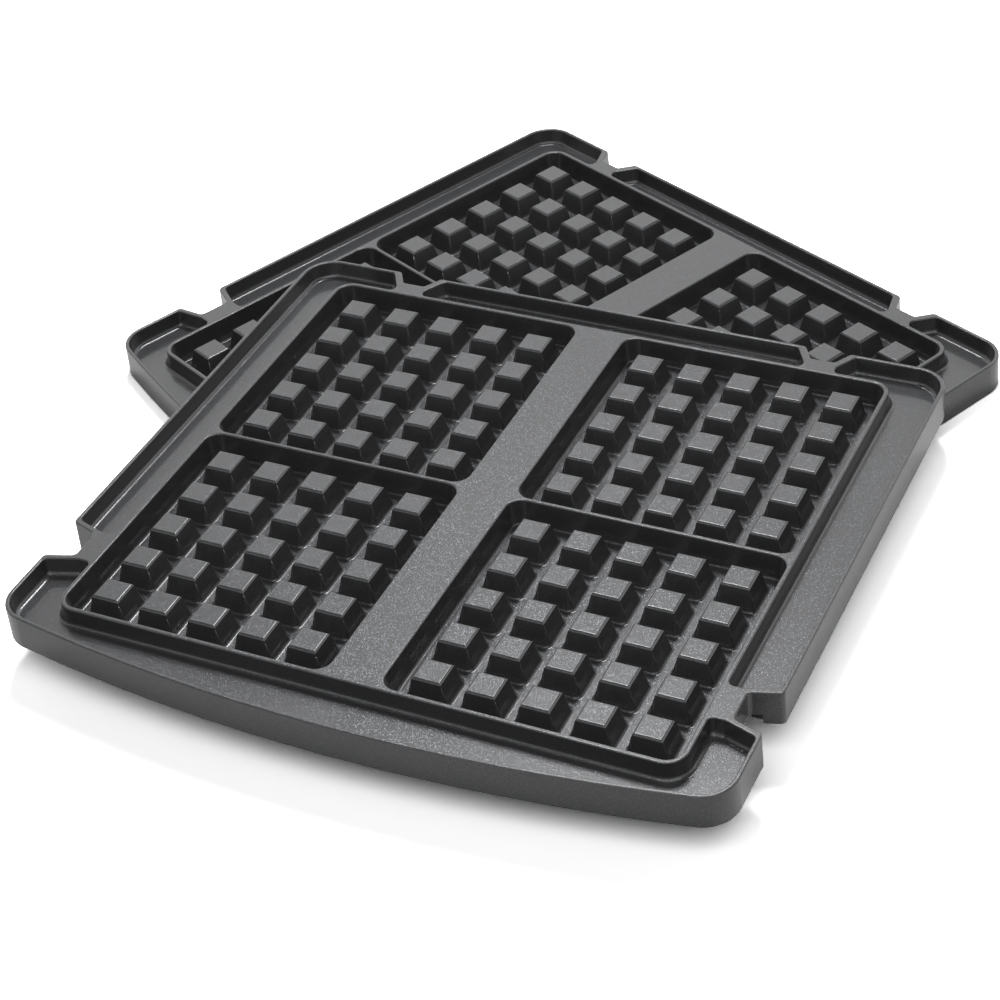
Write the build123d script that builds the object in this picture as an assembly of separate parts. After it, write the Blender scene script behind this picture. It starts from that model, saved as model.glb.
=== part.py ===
# A set of two removable waffle plates for a contact grill, one lying across the other.
#
# Each plate is one die casting: four square pockets with a grid of tapered pegs,
# a drip channel round them, a thin raised lip, four notches that hold the plate
# in the grill, and a skirt round a hollow back. The two castings are the same.
#
# The origin is the middle of the lower plate's underside, on the table. +X is to
# that plate's right, +Y is towards its straight rear edge and +Z is up.
import os
from math import atan, cos, radians, tan
from build123d import *

# Outline of one plate, in millimetres
plate_height = 13.0          # from the table to the top of the lip
front_bow = 13.2             # how far the front edge bows out over its width
corner_radius = 12.4
lip_thickness = 1.5
skirt_thickness = 3.0        # at the top
skirt_draft = 1.2            # degrees, spreading towards the table
edge_round = 0.5             # on the lip, the rims and the notches
bottom_round = 0.4           # round the lower edge of the skirt

# Pockets
pocket_side = 102.4
pocket_corner = 5.7
pocket_depth = 9.5
pocket_draft = 8.0           # degrees
pocket_fillet = 1.1
centre_band = 19.4           # metal between the left and right pockets
cross_rib = 1.5              # metal between the front and rear pockets
pocket_rim = 1.7             # metal outside the pockets, at the top
block_corner = 7.6

# Pegs
pegs_across = 5
peg_gap = 8.95               # from one peg to the next, at the top
peg_margin = 8.05            # from a wall of the pocket to the nearest peg, at the top
peg_corner = 1.4
peg_draft = 15.5             # degrees
peg_drop = 0.95              # from the top of the lip down to the peg tops
peg_fillet = 1.0

# Drip channel, with its widths at the top
side_channel = 16.7
rear_channel = 11.45
front_channel = 19.65        # at the middle of the bow
channel_depth = 6.7
channel_draft = 5.0          # degrees
channel_fillet = 2.0
channel_corner = 2.0

# Notches, wider at the mouth than inside
side_notch_place = 72.9      # from the middle of the plate to the front
side_notch_mouth = 19.2
side_notch_inside = 12.4
side_notch_depth = 10.8
side_land_wall = 2.2         # metal between a side notch and the channel
rear_notch_place = 84.6      # from the middle of the plate to each side
rear_notch_mouth = 17.5
rear_notch_inside = 9.1
rear_notch_depth = 6.9
rear_land_wall = 2.9         # metal between a rear notch and the channel
notch_corner = 2.0
notch_mouth_corner = 1.8
catch_slot_reach = 4.4       # how far the slot under a side land comes out

# Hollow back
deck_thickness = 2.4         # metal under the drip channel
core_wall = 4.2              # metal beside the two cores under the centre band
core_corner = 3.5
core_roof = 3.0              # metal above those cores
core_web = 4.0               # metal from the middle of the plate to each core

# How the upper plate lies on the lower one
upper_turn = 24.72           # degrees, counterclockwise seen from above
upper_right = 66.4           # from the middle of the lower plate to its right
upper_front = 84.1           # and towards its front
rest_gap = 0.3

# Sizes that follow from these
side_notch = (side_notch_mouth, side_notch_inside, side_notch_depth)
rear_notch = (rear_notch_mouth, rear_notch_inside, rear_notch_depth)
block_x = centre_band / 2 + pocket_side + pocket_rim
block_y = cross_rib / 2 + pocket_side + pocket_rim
half_width = block_x + side_channel + lip_thickness
rear_edge = block_y + rear_channel + lip_thickness
front_crown = block_y + front_channel + lip_thickness
front_corner_y = front_bow - front_crown
peg_top = (pocket_side - 2 * peg_margin - (pegs_across - 1) * peg_gap) / pegs_across
peg_pitch = peg_top + peg_gap
core_width = centre_band - 2 * core_wall
hollow_height = plate_height - channel_depth - deck_thickness
beyond = corner_radius       # how far a cut starts outside the plate
down = (0, 0, -1)


def outline():
    """The plate seen from above, without its notches."""
    sides = Polyline(
        (-half_width, front_corner_y),
        (-half_width, rear_edge),
        (half_width, rear_edge),
        (half_width, front_corner_y),
    )
    bow = ThreePointArc(
        (half_width, front_corner_y), (0, -front_crown), (-half_width, front_corner_y)
    )
    face = make_face(sides.edges() + bow.edges())
    return fillet(face.vertices(), corner_radius)


def notch_face(mouth, inside, depth):
    """A notch with its mouth on the X axis, narrowing towards +Y."""
    slope = (mouth - inside) / 2 / depth
    outer = mouth / 2 + slope * beyond
    points = [(-outer, -beyond), (outer, -beyond), (inside / 2, depth), (-inside / 2, depth)]
    face = make_face(Polyline(points, close=True))
    return fillet(face.vertices().group_by(Axis.Y)[-1], notch_corner)


def land_face(mouth, inside, depth, wall, end):
    """The level bridge from a notch to the pockets, wall wider than the notch."""
    slope = (mouth - inside) / 2 / depth
    spread = wall / cos(atan(slope))
    outer = mouth / 2 + slope * beyond + spread
    inner = inside / 2 - slope * wall + spread
    right = [(outer, -beyond), (inner, depth + wall), (inner, end)]
    left = [(-x, y) for x, y in reversed(right)]
    return make_face(Polyline(right + left, close=True))


def side_places():
    """Where the two side notches open, each turned to face outwards."""
    return [Location((s * half_width, -side_notch_place), s * 90) for s in (-1, 1)]


def rear_places():
    """Where the two rear notches open, each turned to face outwards."""
    return [Location((s * rear_notch_place, rear_edge), 180) for s in (-1, 1)]


def notches():
    """The four notches."""
    side = [place * notch_face(*side_notch) for place in side_places()]
    rear = [place * notch_face(*rear_notch) for place in rear_places()]
    return side + rear


def lands():
    """The four level bridges between the notches and the block of pockets."""
    side_end = half_width - block_x + pocket_rim
    rear_end = rear_edge - block_y + pocket_rim
    side = land_face(*side_notch, side_land_wall, side_end)
    rear = land_face(*rear_notch, rear_land_wall, rear_end)
    return [p * side for p in side_places()] + [p * rear for p in rear_places()]


def block():
    """The block that holds the four pockets, seen from above."""
    return RectangleRounded(2 * block_x, 2 * block_y, block_corner)


def drip_channel(plan):
    """The channel round the block, in four lengths between the lands."""
    ring = offset(plan, -lip_thickness) - block()
    for land in lands():
        ring -= land
    tools = []
    for face in ring.faces():
        rounded = offset(offset(face, -channel_corner), channel_corner)
        tool = extrude(rounded, channel_depth, dir=down, taper=channel_draft)
        tools.append(fillet(tool.edges().group_by(Axis.Z)[0], channel_fillet))
    return tools


def peg():
    """One peg, standing on Z = 0."""
    height = pocket_depth - peg_drop
    base = peg_top + 2 * height * tan(radians(peg_draft))
    shape = extrude(RectangleRounded(base, base, peg_corner * base / peg_top), height, taper=peg_draft)
    return fillet(shape.edges().group_by(Axis.Z)[-1], peg_fillet)


def pocket():
    """The space in one pocket, cut down from Z = 0, with its pegs left out."""
    mouth = RectangleRounded(pocket_side, pocket_side, pocket_corner)
    space = extrude(mouth, pocket_depth, dir=down, taper=pocket_draft)
    one_peg = peg()
    floor = Pos(0, 0, -pocket_depth)
    grid = GridLocations(peg_pitch, peg_pitch, pegs_across, pegs_across)
    space -= [floor * place * one_peg for place in grid]
    return fillet(space.edges().group_by(Axis.Z)[0], pocket_fillet)


def hollow_back(plan):
    """What is open under the plate."""
    ring = offset(plan, -skirt_thickness) - block()
    for notch in notches():
        ring -= offset(notch, skirt_thickness)
    tools = [extrude(face, hollow_height) for face in ring.faces()]
    core_length = block_y - skirt_thickness - core_web
    core = RectangleRounded(core_width, core_length, core_corner)
    core_tool = extrude(core, plate_height - core_roof)
    tools += [Pos(0, s * (core_web + core_length / 2), 0) * core_tool for s in (-1, 1)]
    return tools + catch_slots()


def catch_slots():
    """The slot under each side land, where the catch of the grill reaches in."""
    length = catch_slot_reach + skirt_thickness + notch_corner
    width = side_notch_inside + 2 * skirt_thickness
    middle = side_notch_depth - catch_slot_reach + length / 2
    slot = extrude(Pos(0, middle) * Rectangle(width, length), hollow_height)
    return [place * slot for place in side_places()]


def waffle_plate():
    """One plate, with its underside on Z = 0."""
    plan = outline()
    notched = plan
    for notch in notches():
        notched -= notch
    notched = offset(offset(notched, -notch_mouth_corner), notch_mouth_corner)
    top = Pos(0, 0, plate_height)
    plate = extrude(top * notched, plate_height, dir=down, taper=-skirt_draft)
    plate = fillet(plate.edges().group_by(Axis.Z)[0], bottom_round)
    plate -= [top * tool for tool in drip_channel(plan)]
    space = pocket()
    pitch_x = centre_band + pocket_side
    pitch_y = cross_rib + pocket_side
    plate -= [top * place * space for place in GridLocations(pitch_x, pitch_y, 2, 2)]
    plate = fillet(plate.edges().group_by(Axis.Z)[-1], edge_round)
    return plate - hollow_back(plan)


def main():
    plate = waffle_plate()
    upper_place = Location((upper_right, -upper_front, plate_height + rest_gap), upper_turn)
    os.makedirs("parts", exist_ok=True)
    for name, solid in (("lower_plate", plate), ("upper_plate", upper_place * plate)):
        print(name, "volume", round(solid.volume / 1000, 1), "cm3")
        export_step(solid, f"parts/{name}.step")


main()
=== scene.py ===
# %% [markdown]
# # Two waffle plates of a contact grill
#
# The object is a pair of removable cooking plates. Each one is a single aluminium
# casting with a dark non-stick coating, and one lies turned across the other.
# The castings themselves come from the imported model, because a casting is hard,
# exact geometry. What is left for this file is everything that light does to them:
# the coating, the photographer's table, the lamps and the camera.

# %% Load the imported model
from math import cos, radians, sin

import bmesh
import bpy
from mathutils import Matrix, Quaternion, Vector


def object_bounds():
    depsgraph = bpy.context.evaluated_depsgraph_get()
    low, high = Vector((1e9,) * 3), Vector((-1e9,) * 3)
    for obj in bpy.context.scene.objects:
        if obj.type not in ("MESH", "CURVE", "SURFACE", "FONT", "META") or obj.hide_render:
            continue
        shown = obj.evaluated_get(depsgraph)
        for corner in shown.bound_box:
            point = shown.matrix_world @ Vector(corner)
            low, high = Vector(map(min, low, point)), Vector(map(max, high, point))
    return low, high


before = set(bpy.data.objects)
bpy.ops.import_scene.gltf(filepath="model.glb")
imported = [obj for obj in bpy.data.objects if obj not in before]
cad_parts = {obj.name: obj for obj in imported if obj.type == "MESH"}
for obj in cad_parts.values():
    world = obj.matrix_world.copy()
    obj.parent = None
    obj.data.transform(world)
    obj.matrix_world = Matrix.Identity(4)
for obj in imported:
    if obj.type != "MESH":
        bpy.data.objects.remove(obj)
cad_low, cad_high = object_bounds()
plates = [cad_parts["lower_plate"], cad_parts["upper_plate"]]
for plate in plates:
    print(plate.name, len(plate.data.polygons), "triangles")

# %% [markdown]
# ## The camera
#
# The picture is taken with a longish lens from the right of the plates, looking
# down by a little under 40 degrees, with the horizon tipped. A camera needs a
# place, a point to look at, a roll about its own axis and a focal length. Giving
# the place and the aim as points in the model's frame keeps each value easy to
# check against the object: the aim is the spot on the upper plate that lands in
# the middle of the picture.

# %% Place the camera
camera_place = Vector((0.6017, -0.4756, 0.5365))
camera_aim = Vector((0.0737, -0.0846, 0.0263))
camera_roll = radians(-6.17)
camera_lens_mm = 86.14
camera_sensor_mm = 36.0

camera = bpy.data.objects.new("camera", bpy.data.cameras.new("camera"))
camera.data.lens = camera_lens_mm
camera.data.sensor_width = camera_sensor_mm
camera.location = camera_place
look = (camera_aim - camera_place).to_track_quat("-Z", "Y")
camera.rotation_mode = "QUATERNION"
camera.rotation_quaternion = look @ Quaternion((0, 0, 1), camera_roll)
bpy.context.scene.collection.objects.link(camera)
bpy.context.scene.camera = camera
print("camera distance", round((camera_aim - camera_place).length, 3), "m")

# %% [markdown]
# ## A shorthand for materials
#
# A material in Blender is a graph of nodes. Written out by hand, a few sums take a
# page. Here one small class wraps an output socket so that ordinary arithmetic on
# it adds the Math nodes, and one method adds any other node from its type, its
# settings and its inputs.

# %% Define the shorthand
class Value:
    """An output socket that takes part in Python arithmetic."""

    def __init__(self, graph, socket):
        self.graph = graph
        self.socket = socket

    def math(self, operation, a, b):
        return self.graph.node("ShaderNodeMath", {"operation": operation}, {0: a, 1: b})

    def __add__(self, other):
        return self.math("ADD", self, other)

    def __mul__(self, other):
        return self.math("MULTIPLY", self, other)

    def above(self, limit):
        return self.math("GREATER_THAN", self, limit)

    __radd__ = __add__
    __rmul__ = __mul__


class Graph:
    """The node graph of one material or world."""

    def __init__(self, owner):
        owner.use_nodes = True
        self.nodes = owner.node_tree.nodes
        self.links = owner.node_tree.links
        self.nodes.clear()

    def node(self, kind, settings=None, inputs=None, output=0):
        made = self.nodes.new(kind)
        for name, value in (settings or {}).items():
            setattr(made, name, value)
        for key, value in (inputs or {}).items():
            if isinstance(value, Value):
                self.links.new(value.socket, made.inputs[key])
            else:
                made.inputs[key].default_value = value
        return Value(self, made.outputs[output]) if made.outputs else None

    def mix(self, factor, first, second):
        """A colour between two others."""
        colours = {"Factor": factor, 6: first, 7: second}
        return self.node("ShaderNodeMix", {"data_type": "RGBA"}, colours, 2)

    def noise(self, place, scale, detail):
        """A soft random pattern, from 0 to 1."""
        inputs = {"Vector": place, "Scale": scale, "Detail": detail}
        return self.node("ShaderNodeTexNoise", {}, inputs)

    def vector(self, operation, *vectors, **others):
        """One step of vector arithmetic."""
        inputs = dict(enumerate(vectors)) | others
        return self.node("ShaderNodeVectorMath", {"operation": operation}, inputs)

    def ray(self, *kinds):
        """One where a ray is of one of these kinds, and zero elsewhere."""
        return sum((self.node("ShaderNodeLightPath", output=f"Is {kind} Ray") for kind in kinds), 0)


# %% [markdown]
# ## The coated casting
#
# Non-stick coating is a dark resin sprayed over blasted aluminium and baked hard.
# Its colour is nearly black. What makes the flat faces look grey is their sheen,
# which mirrors the white wall behind them, and so the walls that face other walls
# stay black. The sheen is broad, so the Roughness is high. The last spray is thin,
# clear and smoother: a weak coat on the same shader draws the crisp dot of light on
# each corner of a peg, which a rough surface alone would smear out.
#
# Three scales of detail break up the sheen. Fine metal flakes float in the resin.
# The blasted metal below gives it a faint orange peel. And the spray lands
# unevenly, so the sheen drifts a little from place to place. The flakes are cells
# of a Voronoi texture, picked by their random colour. A flake is a tiny mirror, not
# a dot of pale paint, so a picked cell turns metallic, and it leans a little: the
# same random colour tips its normal. It glints where its own tilt finds a lamp and
# stays dark on a shaded wall. The peel is noise fed to a Bump node, and the drift
# is a slow noise in the roughness and the colour.

# %% Make the coating
resin_dark = (0.037, 0.0375, 0.039, 1)
resin_pale = (0.044, 0.0445, 0.046, 1)
flake_colour = (0.12, 0.125, 0.14, 1)
flakes_per_metre = 5200.0
flake_share = 0.1
flake_tilt = 0.2
middle_grey = (0.5, 0.5, 0.5)
peel_per_metre = 1500.0
peel_detail = 2.0
peel_height = 0.000012
drift_per_metre = 14.0
drift_detail = 3.0
sheen_roughness = 0.34
sheen_drift = 0.06
coating_ior = 1.45
top_coat = 0.6
top_coat_roughness = 0.1


def coated_casting():
    material = bpy.data.materials.new("coated_casting")
    graph = Graph(material)
    place = graph.node("ShaderNodeTexCoord", output="Object")

    cells = {"Vector": place, "Scale": flakes_per_metre}
    cell = graph.node("ShaderNodeTexVoronoi", {"feature": "F1"}, cells, "Color")
    lot = graph.node("ShaderNodeSeparateColor", {}, {"Color": cell}, "Red")
    flake = lot.above(1 - flake_share)

    peel = graph.noise(place, peel_per_metre, peel_detail)
    bump = graph.node(
        "ShaderNodeBump", {}, {"Strength": 1.0, "Distance": peel_height, "Height": peel}
    )
    lean = graph.vector("SUBTRACT", cell, middle_grey)
    lean = graph.vector("SCALE", lean, Scale=flake * flake_tilt)
    facing = graph.vector("NORMALIZE", graph.vector("ADD", bump, lean))

    drift = graph.noise(place, drift_per_metre, drift_detail)
    resin = graph.mix(drift, resin_dark, resin_pale)
    shader = graph.node(
        "ShaderNodeBsdfPrincipled",
        {},
        {
            "Base Color": graph.mix(flake, resin, flake_colour),
            "Metallic": flake,
            "Roughness": sheen_roughness + drift * sheen_drift,
            "IOR": coating_ior,
            "Coat Weight": top_coat,
            "Coat Roughness": top_coat_roughness,
            "Normal": facing,
        },
    )
    graph.node("ShaderNodeOutputMaterial", {}, {"Surface": shader})
    return material


coating = coated_casting()
for plate in plates:
    plate.data.materials.clear()
    plate.data.materials.append(coating)
print("coating has", len(coating.node_tree.nodes), "nodes")

# %% [markdown]
# ## The table
#
# The plates lie on a white sheet that runs on into a white background. The floor is
# one round face, made by a bmesh operator. It ends where the lamps begin to fail, and
# past it the white world takes over, so that no edge or horizon shows in any view.
# The photographer let the sheet burn out to pure white. Turning the lamps up would
# bleach the plates too, so the paint is paler to the camera than it is to the light
# that bounces: the sheet reads as pure white and the plates' soft shadow stays. A
# gloss sees the same sheet as plain white paint. A Light Path node tells the rays
# apart.

# %% Lay the floor
floor_radius = 0.9
floor_sides = 96
paint_white = 0.82
camera_lift = 1.85
gloss_lift = 1 - paint_white

builder = bmesh.new()
bmesh.ops.create_circle(builder, cap_ends=True, segments=floor_sides, radius=floor_radius)
floor_mesh = bpy.data.meshes.new("floor")
builder.to_mesh(floor_mesh)
builder.free()
floor = bpy.data.objects.new("floor", floor_mesh)
bpy.context.scene.collection.objects.link(floor)

paint = bpy.data.materials.new("white_table")
graph = Graph(paint)
lifted = paint_white + graph.ray("Camera") * camera_lift
lifted += graph.ray("Glossy", "Transmission") * gloss_lift
shade = graph.node("ShaderNodeCombineColor", {}, {channel: lifted for channel in range(3)})
table_top = graph.node("ShaderNodeBsdfDiffuse", {}, {"Color": shade})
graph.node("ShaderNodeOutputMaterial", {}, {"Surface": table_top})
floor_mesh.materials.append(paint)
print("floor", 2 * floor_radius, "m across")

# %% [markdown]
# ## The light
#
# The studio has a white wall all round and a dark ceiling. The world stands for
# both: the height of a direction, its Z, goes through a Map Range node that fades
# from white to dark. The camera and every gloss see that wall at full white. As a
# light the world is weak, which leaves the shadows to the lamps.
#
# A small, strong lamp hangs high behind the plates, as in the photograph, where the
# shadow falls towards the camera. It draws the thin bright line on every rounded
# edge, and it is kept out of the flat faces' mirror direction. A wide, weak one low
# behind it brightens the wall that the flat faces mirror. A soft one over the
# camera fills the shadow under the upper plate's front, and a weak one low on the
# right lights that flank. None of the lamps shows to the camera.

# %% Light the world
dome_strength = 0.05
wall_fades = sin(radians(38))
wall_ends = sin(radians(50))

world = bpy.data.worlds.new("studio")
bpy.context.scene.world = world
graph = Graph(world)
direction = graph.node("ShaderNodeTexCoord", output="Generated")
rise = graph.node("ShaderNodeSeparateXYZ", {}, {"Vector": direction}, "Z")
wall = graph.node(
    "ShaderNodeMapRange",
    {"interpolation_type": "SMOOTHSTEP"},
    {"Value": rise, "From Min": wall_fades, "From Max": wall_ends, "To Min": 1.0, "To Max": 0.0},
)
seen = graph.ray("Camera", "Glossy", "Transmission")
strength = dome_strength + seen * wall * (1 - dome_strength)
sky = graph.node("ShaderNodeBackground", {}, {"Color": (1, 1, 1, 1), "Strength": strength})
graph.node("ShaderNodeOutputWorld", {}, {"Surface": sky})
print("dome strength", dome_strength)

# %% Hang the lamps
middle = (cad_low + cad_high) / 2
away = (camera_aim - camera_place).xy.normalized()


def lamp(name, bearing, height, distance, size, power):
    """A softbox that faces the plates, its bearing in degrees left of straight behind."""
    angle, rise = radians(bearing), radians(height)
    level = Vector((away.x, away.y, 0))
    level.rotate(Quaternion((0, 0, 1), angle))
    place = middle + (level * cos(rise) + Vector((0, 0, sin(rise)))) * distance
    light = bpy.data.lights.new(name, "AREA")
    light.shape = "RECTANGLE"
    light.size, light.size_y = size
    light.energy = power
    box = bpy.data.objects.new(name, light)
    box.location = place
    box.rotation_euler = (middle - place).to_track_quat("-Z", "Y").to_euler()
    box.visible_camera = False
    bpy.context.scene.collection.objects.link(box)
    print(name, "at", [round(v, 2) for v in place])


lamp("key_light", bearing=-8, height=61, distance=1.05, size=(0.32, 0.25), power=6.8)
lamp("backdrop_light", bearing=0, height=26, distance=2.0, size=(3.4, 1.0), power=5.0)
lamp("front_light", bearing=180, height=57, distance=1.5, size=(1.6, 1.0), power=9.0)
lamp("right_light", bearing=-62, height=20, distance=1.5, size=(1.4, 0.8), power=2.5)

# %% [markdown]
# ## The view transform
#
# Standard shows a colour as it was written, where the default transform would soften
# it. Blender changes no dimension here, so the box round everything has to be the
# box of the imported model.

# %% Set the view transform
bpy.context.scene.view_settings.view_transform = "Standard"
